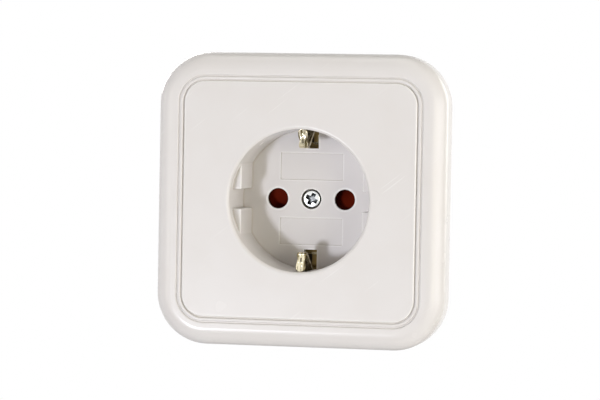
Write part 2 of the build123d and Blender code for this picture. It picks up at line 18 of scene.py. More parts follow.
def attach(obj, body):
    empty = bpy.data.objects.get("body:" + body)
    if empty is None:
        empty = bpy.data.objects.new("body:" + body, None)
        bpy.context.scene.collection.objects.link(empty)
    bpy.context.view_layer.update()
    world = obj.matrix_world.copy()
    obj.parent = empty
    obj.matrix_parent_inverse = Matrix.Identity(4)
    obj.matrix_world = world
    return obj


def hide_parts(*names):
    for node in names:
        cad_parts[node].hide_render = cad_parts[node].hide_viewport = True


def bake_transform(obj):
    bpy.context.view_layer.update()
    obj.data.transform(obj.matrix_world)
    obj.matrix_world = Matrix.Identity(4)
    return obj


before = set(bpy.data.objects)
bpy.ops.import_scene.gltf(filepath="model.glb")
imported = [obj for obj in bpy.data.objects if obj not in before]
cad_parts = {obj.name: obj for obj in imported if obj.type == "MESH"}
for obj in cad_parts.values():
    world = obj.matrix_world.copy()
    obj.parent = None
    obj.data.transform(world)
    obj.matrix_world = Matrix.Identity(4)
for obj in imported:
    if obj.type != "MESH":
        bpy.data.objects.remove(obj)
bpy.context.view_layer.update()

log = logging.getLogger("wall_socket")

MM = 0.001
FULL_TURN = 2 * math.pi
AO_SAMPLES = 8
EDGE_SAMPLES = 4
NOISE_ENDS = (0.2, 0.8)
CREASE = 35.0
WHITE = (1.0, 1.0, 1.0)

Colour = tuple[float, float, float]
Point = tuple[float, float, float]
Flat = tuple[float, float]
Faces = list[tuple[int, ...]]
Socket = bpy.types.NodeSocket
Material = bpy.types.Material
Piece = bpy.types.Object


class Body(Enum):
    """The bodies that pieces ride on."""

    HOUSING = "housing"
    SHUTTER = "shutter"
    LEFT_CLAW = "left_claw"
    RIGHT_CLAW = "right_claw"


class Drive(Enum):
    """The recess in a screw's head."""

    CROSS = "cross"
    SLOT = "slot"


class NodeGraph:
    """A material's nodes, with short ways to add and join them."""

    def __init__(self, name: str) -> None:
        """Start a material that holds one plain surface shader.

        Args:
            name: the material's name.
        """
        self.material = bpy.data.materials.new(name)
        self.material.use_nodes = True
        self.tree = self.material.node_tree
        self.surface = self.tree.nodes["Principled BSDF"]

    def add(self, kind: str, **inputs: object) -> bpy.types.Node:
        """Add a node and fill its inputs.

        Args:
            kind: the node's type.
            inputs: a value or an output socket for each input; spaces are written as underscores.

        Returns:
            The new node.
        """
        node = self.tree.nodes.new(kind)
        for name, value in inputs.items():
            self.feed(node, name.replace("_", " "), value)
        return node

    def feed(self, node: bpy.types.Node, name: str, value: object) -> None:
        """Set or link one input.

        Args:
            node: the node that takes the value.
            name: the input's name.
            value: a plain value, a linear colour, or the output socket to link.
        """
        socket = node.inputs[name]
        if isinstance(value, Socket):
            self.tree.links.new(value, socket)
        elif socket.type == "RGBA":
            socket.default_value = (*value, 1.0)
        else:
            socket.default_value = value

    def paint(self, **inputs: object) -> None:
        """Fill inputs of the surface shader, with spaces written as underscores."""
        for name, value in inputs.items():
            self.feed(self.surface, name.replace("_", " "), value)

    def own(self) -> Socket:
        """The piece's own coordinates, in metres."""
        return self.add("ShaderNodeTexCoord").outputs["Object"]

    def place(self, stretch: Point = (1, 1, 1), slant: float = 0.0) -> Socket:
        """The piece's own coordinates, stretched and turned for a pattern.

        Args:
            stretch: how many times finer a pattern gets along each axis.
            slant: the pattern's turn about Y, in degrees.

        Returns:
            The coordinate socket.
        """
        turn = (0.0, math.radians(slant), 0.0)
        turned = self.add("ShaderNodeMapping", Vector=self.own(), Rotation=turn).outputs["Vector"]
        return self.add("ShaderNodeMapping", Vector=turned, Scale=stretch).outputs["Vector"]

    def noise(self, place: Socket, size: float, detail: float = 3.0) -> Socket:
        """Cloudy noise of a given grain.

        Args:
            place: the coordinates to use.
            size: the size of a cloud in millimetres.
            detail: how much finer noise is laid over it.

        Returns:
            The value socket.
        """
        node = self.add("ShaderNodeTexNoise", Vector=place, Scale=1 / (size * MM), Detail=detail)
        return node.outputs[0]

    def depth(self) -> Socket:
        """The distance behind the wall's plane, in metres."""
        return self.add("ShaderNodeSeparateXYZ", Vector=self.own()).outputs["Y"]

    def ramp(self, value: Socket, ends: Flat, *colours: Colour) -> Socket:
        """Go from one colour to another along a value.

        Args:
            value: the value to read.
            ends: the values at which the change starts and is full.
            colours: the two colours, linear.

        Returns:
            The colour socket.
        """
        node = self.add("ShaderNodeValToRGB", Fac=value)
        for element, position, colour in zip(node.color_ramp.elements, ends, colours):
            element.position = position
            element.color = (*colour, 1.0)
        return node.outputs["Color"]

    def spread(self, value: Socket, source: Flat, target: Flat) -> Socket:
        """Map one range of values onto another.

        Args:
            value: the value to read.
            source: its low and high ends.
            target: what they become.

        Returns:
            The mapped value's socket.
        """
        node = self.add("ShaderNodeMapRange", Value=value)
        for name, number in zip(("From Min", "From Max", "To Min", "To Max"), (*source, *target)):
            node.inputs[name].default_value = number
        return node.outputs["Result"]

    def nearby(
        self, clean: Socket, other: Colour, reach: float, ends: Flat, inside: bool = False
    ) -> Socket:
        """Change a colour where surfaces stand close by.

        Args:
            clean: the colour of open places.
            other: the colour of narrow places, linear.
            reach: how far away surfaces count, in millimetres.
            ends: the open shares of the view at which the other colour is full and is gone.
            inside: look into the piece, where surfaces are close along its edges.

        Returns:
            The mixed colour's socket.
        """
        view = self.add("ShaderNodeAmbientOcclusion", Distance=reach * MM)
        view.samples = AO_SAMPLES
        view.inside = inside
        return self.mix(self.spread(view.outputs["AO"], ends, (0.0, 1.0)), other, clean)

    def beside(self, across: float) -> Socket:
        """The distance from the nearer of two lines along Y, one on each side of the axis.

        Args:
            across: how far each line is from the axis, in millimetres.

        Returns:
            The distance's socket, in metres.
        """
        spot = self.own()
        for operation, amount, result in (
            ("ABSOLUTE", (0, 0, 0), "Vector"),
            ("SUBTRACT", (across * MM, 0, 0), "Vector"),
            ("MULTIPLY", (1, 0, 1), "Vector"),
            ("LENGTH", (0, 0, 0), "Value"),
        ):
            node = self.tree.nodes.new("ShaderNodeVectorMath")
            node.operation = operation
            self.tree.links.new(spot, node.inputs[0])
            node.inputs[1].default_value = amount
            spot = node.outputs[result]
        return spot

    def mix(self, share: Socket, first: object, second: object) -> Socket:
        """Blend two colours.

        Args:
            share: how much of the second colour shows.
            first: a colour or a colour socket.
            second: a colour or a colour socket.

        Returns:
            The blend's socket.
        """
        node = self.add("ShaderNodeMixRGB", Fac=share, Color1=first, Color2=second)
        return node.outputs["Color"]

    def relief(self, height: Socket, depth: float, edge: float) -> None:
        """Raise a pattern on the surface and soften its edges.

        Args:
            height: the pattern.
            depth: its depth in millimetres.
            edge: the radius of a broken edge in millimetres.
        """
        soft = self.add("ShaderNodeBevel", Radius=edge * MM)
        soft.samples = EDGE_SAMPLES
        bump = self.add("ShaderNodeBump", Height=height, Distance=depth * MM, Strength=1.0)
        self.feed(bump, "Normal", soft.outputs["Normal"])
        self.paint(Normal=bump.outputs["Normal"])


@dataclass(frozen=True)
class MouldedPlastic:
    """A moulded plastic with faint stains, scratches and a fine skin, with painted shade in its narrow
    corners and, where set, painted highlights along its edges.

    Attributes:
        name: the finish's name.
        colour: the clean colour, linear.
        stain: the colour that it drifts to where it was handled.
        stain_size: the size of a stain in millimetres.
        stain_ends: the noise values at which a stain starts and is full.
        painted_shade: the colour of the painted shade in its narrow corners and seams.
        painted_shade_reach: how wide such corners are, in millimetres.
        closed: the open shares of the view at which the painted shade is full and is gone.
        rim: the colour of the painted highlight along its outer edges and round its pin holes; none
            where it has none.
        highlight_reach: how far from an edge the painted highlight goes, in millimetres.
        sharp: the open shares behind the surface at which an edge is full and is gone.
        scratch: the colour of fine scratches; none where there are none.
        scratch_size: the length of a scratch in millimetres.
        scratch_stretch: how much narrower a scratch is along each axis.
        scratch_slant: the scratches' angle in degrees.
        scratch_ends: the noise values at which a scratch starts and is full.
        scratch_share: how much of its colour shows.
        painted_hole_shade: the colour of the painted shade inside its pin holes; none where it has no
            holes.
        hole_x: the distance of a pin hole from the axis, in millimetres.
        hole_shade_span: the distances from a hole's middle at which the painted shade is full and is
            gone.
        hole_highlight_span: the distances from it at which the painted highlight in the rim's colour is
            full and is gone.
        roughness: the least and greatest roughness.
        sheen_size: the size of a rougher patch in millimetres.
        index: its refractive index.
        shine: the strength of its reflections, where 0.5 is plain plastic.
        grain_size: the size of the skin's grain in millimetres.
        grain_depth: the depth of the grain in millimetres.
        edge: the radius of its broken edges in millimetres.
    """

    name: str
    colour: Colour
    stain: Colour
    stain_size: float = 14.0
    stain_ends: Flat = (0.42, 0.78)
    painted_shade: Colour = (0.02, 0.015, 0.01)
    painted_shade_reach: float = 1.5
    closed: Flat = (0.05, 0.5)
    rim: Colour | None = None
    highlight_reach: float = 0.5
    sharp: Flat = (0.50, 0.95)
    scratch: Colour | None = None
    scratch_size: float = 16.0
    scratch_stretch: Point = (1.0, 1.0, 30.0)
    scratch_slant: float = 38.0
    scratch_ends: Flat = (0.74, 0.84)
    scratch_share: float = 0.6
    painted_hole_shade: Colour | None = None
    hole_x: float = 9.5
    hole_shade_span: Flat = (2.78, 2.92)
    hole_highlight_span: Flat = (3.05, 3.55)
    roughness: Flat = (0.28, 0.42)
    sheen_size: float = 6.0
    index: float = 1.48
    shine: float = 0.5
    grain_size: float = 0.5
    grain_depth: float = 0.004
    edge: float = 0.12

    def holed(self, graph: NodeGraph, clean: Socket) -> Socket:
        """Paint a highlight round the pin holes' mouths and paint shade inside them.

        Args:
            graph: the material's nodes.
            clean: the colour of other places.

        Returns:
            The mixed colour's socket.
        """
        away = graph.beside(self.hole_x)
        coat = clean
        for colour, (full, gone) in ((self.rim, self.hole_highlight_span), (self.painted_hole_shade, self.hole_shade_span)):
            share = graph.spread(away, (full * MM, gone * MM), (0.0, 1.0))
            coat = graph.mix(share, colour, coat)
        return coat

    def material(self) -> Material:
        """Mix the finish.

        Returns:
            The finish as a material.
        """
        graph = NodeGraph(self.name)
        place = graph.place()
        clouds = graph.noise(place, self.stain_size, detail=5.0)
        coat = graph.ramp(clouds, self.stain_ends, self.colour, self.stain)
        if self.scratch:
            run = graph.place(self.scratch_stretch, self.scratch_slant)
            fine = graph.noise(run, self.scratch_size, detail=1.0)
            share = graph.spread(fine, self.scratch_ends, (0.0, self.scratch_share))
            coat = graph.mix(share, coat, self.scratch)
        # Painted highlight: outer edges are lightened to the rim colour.
        if self.rim:
            coat = graph.nearby(coat, self.rim, self.highlight_reach, self.sharp, inside=True)
        # Painted shade: narrow corners and seams are darkened.
        coat = graph.nearby(coat, self.painted_shade, self.painted_shade_reach, self.closed)
        # Painted shade inside the pin holes and a painted highlight round their mouths.
        if self.painted_hole_shade:
            coat = self.holed(graph, coat)
        patches = graph.noise(place, self.sheen_size, detail=1.0)
        gloss = graph.spread(patches, NOISE_ENDS, self.roughness)
        graph.paint(Base_Color=coat, Roughness=gloss, IOR=self.index, Specular_IOR_Level=self.shine)
        graph.relief(graph.noise(place, self.grain_size, detail=2.0), self.grain_depth, self.edge)
        return graph.material


@dataclass(frozen=True)
class PlatedMetal:
    """A rolled or turned metal with drawing lines and dull patches, and painted shade in its narrow
    corners.

    Attributes:
        name: the finish's name.
        colour: the bright colour, linear.
        dull: the colour of the dull patches.
        painted_shade: the colour of the painted shade in its narrow corners and recesses.
        painted_shade_reach: how wide such corners are, in millimetres.
        closed: the open shares of the view at which the painted shade is full and is gone.
        roughness: the least and greatest roughness.
        gloss_ends: the noise values at which it is smoothest and roughest.
        bare: how far it shines as bare metal, from 0 to 1; the rest is a dull film.
        patch_size: the size of a dull patch in millimetres.
        patch_stretch: how much narrower a patch is along each axis.
        patch_ends: the noise values at which a patch starts and is full.
        line_size: the length of its drawing lines in millimetres.
        line_stretch: how much finer they are along each axis.
        line_depth: their depth in millimetres.
        edge: the radius of its broken edges in millimetres.
    """

    name: str
    colour: Colour
    dull: Colour
    painted_shade: Colour = (0.04, 0.04, 0.04)
    painted_shade_reach: float = 1.0
    closed: Flat = (0.1, 0.6)
    roughness: Flat = (0.16, 0.34)
    gloss_ends: Flat = (0.35, 0.70)
    bare: float = 1.0
    patch_size: float = 2.5
    patch_stretch: Point = (1.0, 1.0, 1.0)
    patch_ends: Flat = (0.40, 0.72)
    line_size: float = 0.6
    line_stretch: Point = (1.0, 1.0, 1.0)
    line_depth: float = 0.003
    edge: float = 0.08

    def coat(self, graph: NodeGraph, patches: Socket) -> Socket:
        """The metal's colour.

        Args:
            graph: the material's nodes.
            patches: the noise that the dull patches follow.

        Returns:
            The colour socket.
        """
        clean = graph.ramp(patches, self.patch_ends, self.colour, self.dull)
        # Painted shade: narrow corners and recesses are darkened.
        return graph.nearby(clean, self.painted_shade, self.painted_shade_reach, self.closed)

    def gloss(self, graph: NodeGraph, patches: Socket) -> Socket:
        """The metal's roughness, which follows the dull patches."""
        return graph.spread(patches, self.gloss_ends, self.roughness)

    def material(self) -> Material:
        """Mix the finish.

        Returns:
            The finish as a material.
        """
        graph = NodeGraph(self.name)
        patches = graph.noise(graph.place(self.patch_stretch), self.patch_size, detail=4.0)
        coat, gloss = self.coat(graph, patches), self.gloss(graph, patches)
        graph.paint(Base_Color=coat, Roughness=gloss, Metallic=self.bare)
        lines = graph.noise(graph.place(self.line_stretch), self.line_size, detail=2.0)
        graph.relief(lines, self.line_depth, self.edge)
        return graph.material


@dataclass(frozen=True)
class RubbedMetal(PlatedMetal):
    """A plated metal that plugs keep bright in front and that is tarnished behind, with a painted
    highlight along its edges.

    Attributes:
        tarnish: the colour where nothing rubs it.
        highlight_reach: how far from its edges the painted highlight in its bright colour goes, in
            millimetres.
        sharp: the open shares behind the surface at which an edge is full and is gone.
        rubbed: the depths in millimetres at which it is still bright and fully tarnished.
    """

    tarnish: Colour = (0.2, 0.15, 0.08)
    highlight_reach: float = 0.25
    sharp: Flat = (0.30, 0.90)
    rubbed: Flat = (-4.0, 3.0)

    def coat(self, graph: NodeGraph, patches: Socket) -> Socket:
        """The metal's colour, from bright to tarnished, with a painted highlight along its edges.

        Args:
            graph: the material's nodes.
            patches: the noise that the dull patches follow.

        Returns:
            The colour socket.
        """
        share = self.worn(graph, (0.0, 1.0))
        sheet = graph.mix(share, super().coat(graph, patches), self.tarnish)
        # Painted highlight: edges are lightened to the bright colour.
        return graph.nearby(sheet, self.colour, self.highlight_reach, self.sharp, inside=True)

    def gloss(self, graph: NodeGraph, patches: Socket) -> Socket:
        """The metal's roughness, from polished to tarnished."""
        return self.worn(graph, self.roughness)

    def worn(self, graph: NodeGraph, ends: Flat) -> Socket:
        """A value that changes from the rubbed to the tarnished depth.

        Args:
            graph: the material's nodes.
            ends: the value where it is bright and where it is tarnished.

        Returns:
            The value's socket.
        """
        near, far = self.rubbed
        return graph.spread(graph.depth(), (near * MM, far * MM), ends)


SHELL_WHITE = MouldedPlastic(
    "shell_white",
    colour=(0.752, 0.728, 0.718),
    stain=(0.738, 0.709, 0.692),
    # Painted shade in corners and seams.
    painted_shade=(0.58, 0.53, 0.46),
    painted_shade_reach=0.8,
    closed=(0.30, 0.80),
    # Painted highlight along outer edges and round the pin holes.
    rim=(0.94, 0.93, 0.92),
    highlight_reach=0.6,
    sharp=(0.60, 0.95),
    scratch=(0.86, 0.85, 0.84),
    # Painted shade inside the pin holes.
    painted_hole_shade=(0.05, 0.02, 0.012),
    roughness=(0.20, 0.28),
    shine=0.32,
    grain_depth=0.001,
)
# The surround: lighter painted shade in its corners and seam, no painted edge highlight, no painted
# shade in holes.
SURROUND_WHITE = replace(
    SHELL_WHITE, name="surround_white", painted_shade=(0.70, 0.67, 0.64), rim=None, painted_hole_shade=None
)
SHUTTER_RED = MouldedPlastic(
    "shutter_red",
    colour=(0.150, 0.012, 0.003),
    stain=(0.120, 0.009, 0.002),
    # Painted shade where the pin holes' walls close round the shutter.
    painted_shade=(0.010, 0.001, 0.001),
    painted_shade_reach=3.0,
    closed=(0.12, 0.70),
    roughness=(0.45, 0.6),
    shine=0.03,
    grain_size=0.3,
)
RETAINER_BLACK = MouldedPlastic(
    "retainer_black",
    colour=(0.020, 0.019, 0.018),
    stain=(0.035, 0.033, 0.030),
    roughness=(0.4, 0.55),
)
BASE_BROWN = MouldedPlastic(
    "base_brown",
    colour=(0.095, 0.067, 0.028),
    stain=(0.120, 0.086, 0.038),
    # Painted shade in narrow places.
    painted_shade=(0.075, 0.052, 0.019),
    roughness=(0.42, 0.60),
    grain_size=0.35,
    grain_depth=0.012,
    edge=0.2,
)
CLIP_NICKEL = RubbedMetal(
    "clip_nickel",
    colour=(0.90, 0.82, 0.60),
    dull=(0.16, 0.12, 0.04),
    # Painted shade in narrow corners.
    painted_shade=(0.06, 0.045, 0.02),
    painted_shade_reach=0.8,
    closed=(0.15, 0.65),
    roughness=(0.08, 0.45),
    bare=0.82,
    patch_size=2.2,
    patch_stretch=(3.2, 0.7, 0.7),
    patch_ends=(0.48, 0.62),
    line_stretch=(3.0, 1.0, 1.0),
    line_depth=0.001,
    tarnish=(0.42, 0.30, 0.12),
    rubbed=(2.0, 8.0),
)
CONTACT_BRASS = PlatedMetal(
    "contact_brass",
    colour=(0.80, 0.58, 0.24),
    dull=(0.58, 0.38, 0.14),
    line_stretch=(6.0, 1.0, 1.0),
)
SCREW_ZINC = PlatedMetal(
    "screw_zinc",
    colour=(0.86, 0.87, 0.86),
    dull=(0.70, 0.72, 0.73),
    # Painted shade in the driver recesses.
    painted_shade=(0.020, 0.025, 0.028),
    painted_shade_reach=2.0,
    closed=(0.42, 0.82),
    roughness=(0.16, 0.32),
)
RING_ZINC = PlatedMetal(
    "ring_zinc",
    colour=(0.68, 0.68, 0.66),
    dull=(0.50, 0.50, 0.47),
    roughness=(0.26, 0.46),
    patch_size=7.0,
    line_stretch=(1.0, 1.0, 8.0),
    edge=0.12,
)
SPRING_STEEL = PlatedMetal(
    "spring_steel",
    colour=(0.55, 0.54, 0.52),
    dull=(0.38, 0.37, 0.35),
    edge=0.03,
)


def put(name: str, data: bpy.types.ID) -> Piece:
    """Put a new object into the scene.

    Args:
        name: the object's name.
        data: its mesh, curve, light or camera.

    Returns:
        The new object.
    """
    thing = bpy.data.objects.new(name, data)
    bpy.context.scene.collection.objects.link(thing)
    return thing


def mesh_piece(
    name: str, points: Iterable[Point], faces: Iterable[Sequence[int]], crease: float = CREASE
) -> Piece:
    """Make a piece from points and faces.

    Args:
        name: the piece's name.
        points: its points in millimetres.
        faces: the point numbers of each face.
        crease: the angle in degrees above which an edge stays sharp.

    Returns:
        The new object, in metres.
    """
    mesh = bpy.data.meshes.new(name)
    mesh.from_pydata([tuple(c * MM for c in point) for point in points], [], list(faces))
    shape = bmesh.new()
    shape.from_mesh(mesh)
    bmesh.ops.recalc_face_normals(shape, faces=shape.faces)
    shape.to_mesh(mesh)
    shape.free()
    piece = put(name, mesh)
    soften(piece, crease)
    return piece


def soften(piece: Piece, crease: float) -> None:
    """Shade a piece smooth, up to an angle in degrees."""
    piece.data.polygons.foreach_set("use_smooth", [True] * len(piece.data.polygons))
    piece.data.set_sharp_from_angle(angle=math.radians(crease))


def loft(rings: Sequence[Sequence[Point]]) -> tuple[list[Point], Faces]:
    """Skin closed rings of equal length, with both ends shut.

    Args:
        rings: the rings in order, each a list of points.

    Returns:
        The points and the faces.
    """
    around = len(rings[0])
    points = [point for ring in rings for point in ring]
    faces: Faces = [tuple(range(around))[::-1]]
    for row in range(len(rings) - 1):
        for step in range(around):
            after = (step + 1) % around
            low, high = row * around, (row + 1) * around
            faces.append((low + step, low + after, high + after, high + step))
    last = (len(rings) - 1) * around
    faces.append(tuple(range(last, last + around)))
    return points, faces


def polar(radius: float, angle: float) -> Flat:
    """The point at a distance and an angle from the middle."""
    return (radius * math.cos(angle), radius * math.sin(angle))


def circle(radius: float, count: int, middle: Flat = (0.0, 0.0)) -> list[Flat]:
    """Points round a circle.

    Args:
        radius: the circle's radius.
        count: the number of points.
        middle: the circle's middle.

    Returns:
        The points in order.
    """
    spots = [polar(radius, FULL_TURN * step / count) for step in range(count)]
    return [(middle[0] + x, middle[1] + y) for x, y in spots]


def carve(piece: Piece, cutters: Sequence[Piece]) -> None:
    """Cut other meshes out of a piece and drop them.

    Args:
        piece: the piece that is cut.
        cutters: the closed meshes to take away.
    """
    for cutter in cutters:
        cut = piece.modifiers.new("cut", "BOOLEAN")
        cut.operation = "DIFFERENCE"
        cut.solver = "EXACT"
        cut.object = cutter
    settle(piece)
    for cutter in cutters:
        bpy.data.objects.remove(cutter)


def settle(piece: Piece) -> None:
    """Turn a piece's modifiers into plain mesh.

    Args:
        piece: the piece whose modifiers are used up.
    """
    seen = piece.evaluated_get(bpy.context.evaluated_depsgraph_get())
    mesh = bpy.data.meshes.new_from_object(seen)
    piece.modifiers.clear()
    piece.data = mesh


def rounded_path(corners: Sequence[Flat], radii: Sequence[float], step: float) -> list[Flat]:
    """A flat path with an arc at each inner corner.

    Args:
        corners: the corners in order.
        radii: the bend radius at each inner corner.
        step: the angle in degrees between points on an arc.

    Returns:
        The points along the path.
    """
    points = [Vector(corners[0])]
    for before, corner, after, radius in zip(corners, corners[1:], corners[2:], radii):
        here = Vector(corner)
        back = (Vector(before) - here).normalized()
        ahead = (Vector(after) - here).normalized()
        half = back.angle(ahead) / 2
        centre = here + (back + ahead).normalized() * radius / math.sin(half)
        start = here + back * radius / math.tan(half) - centre
        turn = math.pi - 2 * half
        side = 1 if start.x * back.y < start.y * back.x else -1
        count = max(2, round(math.degrees(turn) / step))
        for index in range(count + 1):
            angle = side * turn * index / count
            points.append(centre + Matrix.Rotation(angle, 2) @ start)
    points.append(Vector(corners[-1]))
    return [(point.x, point.y) for point in points]


def along(points: Sequence[Flat], spacing: float) -> list[tuple[Flat, Flat, float]]:
    """Walk a flat path in even steps.

    Args:
        points: the path.
        spacing: the greatest step in millimetres.

    Returns:
        For each step its place, its direction and its distance from the start.
    """
    dense: list[Vector] = [Vector(points[0])]
    for first, second in zip(points, points[1:]):
        gap = (Vector(second) - Vector(first)).length
        count = max(1, math.ceil(gap / spacing))
        for index in range(1, count + 1):
            dense.append(Vector(first).lerp(Vector(second), index / count))
    walk = []
    reached = 0.0
    for index, place in enumerate(dense):
        ahead = dense[min(index + 1, len(dense) - 1)]
        behind = dense[max(index - 1, 0)]
        if index:
            reached += (place - behind).length
        heading = (ahead - behind).normalized()
        walk.append(((place.x, place.y), (heading.x, heading.y), reached))
    return walk


def dress(nodes: Iterable[str], finish: MouldedPlastic | PlatedMetal) -> None:
    """Give carried-over nodes a finish.

    Args:
        nodes: the nodes' names.
        finish: the finish that they share.
    """
    material = finish.material()
    for name in nodes:
        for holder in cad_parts[name].material_slots:
            holder.material = material
        log.info("dressed %s in %s", name, finish.name)


def fit(piece: Piece, material: Material, body: Body, nodes: Sequence[str]) -> None:
    """Give a new piece its finish, its body and the nodes that it stands for.

    Args:
        piece: the new piece.
        material: its material.
        body: the body that carries it.
        nodes: the nodes that it replaces.
    """
    piece.data.materials.clear()
    piece.data.materials.append(material)
    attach(piece, body.value)
    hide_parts(*nodes)
    log.info("built %s, %d faces", piece.name, len(piece.data.polygons))


@dataclass
class Screw:
    """A screw along Y with a rounded head, a cut thread and a driver recess.

    Attributes:
        name: the piece's name.
        node: the node that it replaces.
        places: the X and Z of each screw in the piece.
        head_front: the Y of the head's face.
        head_r: the head's radius.
        head: the head's height.
        shank_r: the outer radius of the thread.
        length: the shank's length.
        body: the body that carries it.
        drive: the recess in the head.
        drive_turn: the recess's angle in degrees.
        drive_width: the width of the slot or of a cross arm.
        drive_depth: the depth of the recess.
        drive_reach: the half length of a cross arm.
        drive_core: the radius of the cone in the middle of a cross.
        drive_taper: the share of a cross's size that is left at its bottom.
        crown: how far the head's face falls off towards its edge.
        rounding: the rounding of the head's edge, as a share of its height.
        chamfer: the chamfer under the head.
        neck: the length of plain shank above the thread.
        point: how much the thread's radius falls at the tip.
        pitch: the thread's pitch.
        thread_depth: the thread's depth.
        flank: how steep the thread's flanks are, where 1 leaves no flat on the crest.
        around: points round the screw.
        face_rings: rings across the head's face.
        edge_rings: rings round the head's edge.
        thread_rings: rings along one turn of thread.
        proud: how far the recess's cutter stands out of the face.
        flare: how much wider the cutter is there.
    """

    name: str
    node: str
    places: list[Flat]
    head_front: float
    head_r: float
    head: float
    shank_r: float
    length: float
    body: Body = Body.HOUSING
    drive: Drive = Drive.SLOT
    drive_turn: float = 0.0
    drive_width: float = 1.0
    drive_depth: float = 1.0
    drive_reach: float = 1.85
    drive_core: float = 1.02
    drive_taper: float = 0.62
    crown: float = 0.12
    rounding: float = 0.3
    chamfer: float = 0.12
    neck: float = 0.5
    point: float = 0.45
    pitch: float = 0.7
    thread_depth: float = 0.28
    flank: float = 1.35
    around: int = 40
    face_rings: int = 5
    edge_rings: int = 4
    thread_rings: int = 8
    proud: float = 0.5
    flare: float = 1.08

    def rows(self) -> list[Point]:
        """The screw's outline.

        Returns:
            From face to tip: depth, radius and how much thread is cut there.
        """
        edge = self.rounding * self.head
        flat_r, seat = self.head_r - edge, self.head_front + self.head
        rows = []
        for step in range(1, self.face_rings + 1):
            share = step / self.face_rings
            rows.append((self.head_front + self.crown * share**2, flat_r * share, 0.0))
        for step in range(1, self.edge_rings + 1):
            angle = math.pi / 2 * step / self.edge_rings
            depth = self.head_front + self.crown + (edge - self.crown) * (1 - math.cos(angle))
            rows.append((depth, flat_r + edge * math.sin(angle), 0.0))
        rows.append((seat - self.chamfer, self.head_r, 0.0))
        rows.append((seat, self.head_r - self.chamfer, 0.0))
        rows.append((seat, self.shank_r, 0.0))
        start, stop = seat + self.neck, seat + self.length
        rows.append((start, self.shank_r, 0.0))
        count = round((stop - start) / self.pitch * self.thread_rings)
        for step in range(1, count + 1):
            depth = start + (stop - start) * step / count
            taper = min(1.0, (stop - depth) / self.pitch)
            cut = min(1.0, (depth - start) / self.pitch)
            rows.append((depth, self.shank_r - self.point * (1 - taper), cut * taper))
        return rows

    def ring(self, place: Flat, row: Point) -> list[Point]:
        """One ring of points.

        Args:
            place: the screw's X and Z.
            row: the depth, radius and share of thread.

        Returns:
            The points round the screw.
        """
        depth, radius, cut = row
        points = []
        for step in range(self.around):
            turn = step / self.around
            phase = (depth / self.pitch - turn) % 1.0
            height = min(1.0, self.flank * abs(2 * phase - 1))
            x, z = polar(radius - cut * self.thread_depth * (1 - height), FULL_TURN * turn)
            points.append((place[0] + x, depth, place[1] + z))
        return points

    def cutters(self, place: Flat) -> list[Piece]:
        """The meshes that cut one screw's driver recess.

        Args:
            place: the screw's X and Z.

        Returns:
            The cutters, each a closed mesh.
        """
        cross = self.drive is Drive.CROSS
        reach = self.drive_reach if cross else 2 * self.head_r
        half = self.drive_width / 2
        arm = ((-reach, -half), (reach, -half), (reach, half), (-reach, half))
        core = circle(self.drive_core, self.around)
        plan = [(arm, 0.0), (arm, 90.0), (core, 0.0)] if cross else [(arm, 0.0)]
        taper = self.drive_taper if cross else 1.0
        made = []
        for outline, turn in plan:
            spin = Matrix.Rotation(math.radians(self.drive_turn + turn), 2)
            flat = [spin @ Vector(corner) for corner in outline]
            rings = []
            for depth, share in ((-self.proud, self.flare), (0.0, 1.0), (self.drive_depth, taper)):
                y = self.head_front + depth
                rings.append([(place[0] + share * c.x, y, place[1] + share * c.y) for c in flat])
            made.append(mesh_piece(f"{self.name}_cutter", *loft(rings)))
        return made

    def build(self, material: Material, slot: str) -> None:
        """Make the piece.

        Args:
            material: its finish.
            slot: the material slot that it would answer to; not used.
        """
        points: list[Point] = []
        faces: Faces = []
        for place in self.places:
            some, shell = loft([self.ring(place, row) for row in self.rows()])
            faces += [tuple(index + len(points) for index in face) for face in shell]
            points += some
        piece = mesh_piece(self.name, points, faces)
        carve(piece, [cutter for place in self.places for cutter in self.cutters(place)])
        soften(piece, CREASE)
        fit(piece, material, self.body, [self.node])


@dataclass
class Faceplate:
    """The surround frame, the centre plate with its plug well, and the fixing screw.

    Attributes:
        screw: the screw in the middle of the well's floor.
    """

    screw: Screw = field(
        default_factory=lambda: Screw(
            "fixing_screw",
            "cover_screw",
            places=[(0.0, 0.0)],
            head_front=7.1,
            head_r=2.5,
            head=2.0,
            shank_r=1.5,
            length=10.9,
            drive=Drive.CROSS,
            drive_turn=-27.0,
            drive_width=1.2,
            drive_depth=1.6,
            crown=0.2,
            around=64,
        )
    )

    def dress(self) -> None:
        """Give the two mouldings their white finishes."""
        dress(["frame"], SURROUND_WHITE)
        dress(["cover_plate"], SHELL_WHITE)

    def build(self) -> None:
        """Make the fixing screw."""
        self.screw.build(SCREW_ZINC.material(), "screw_zinc")


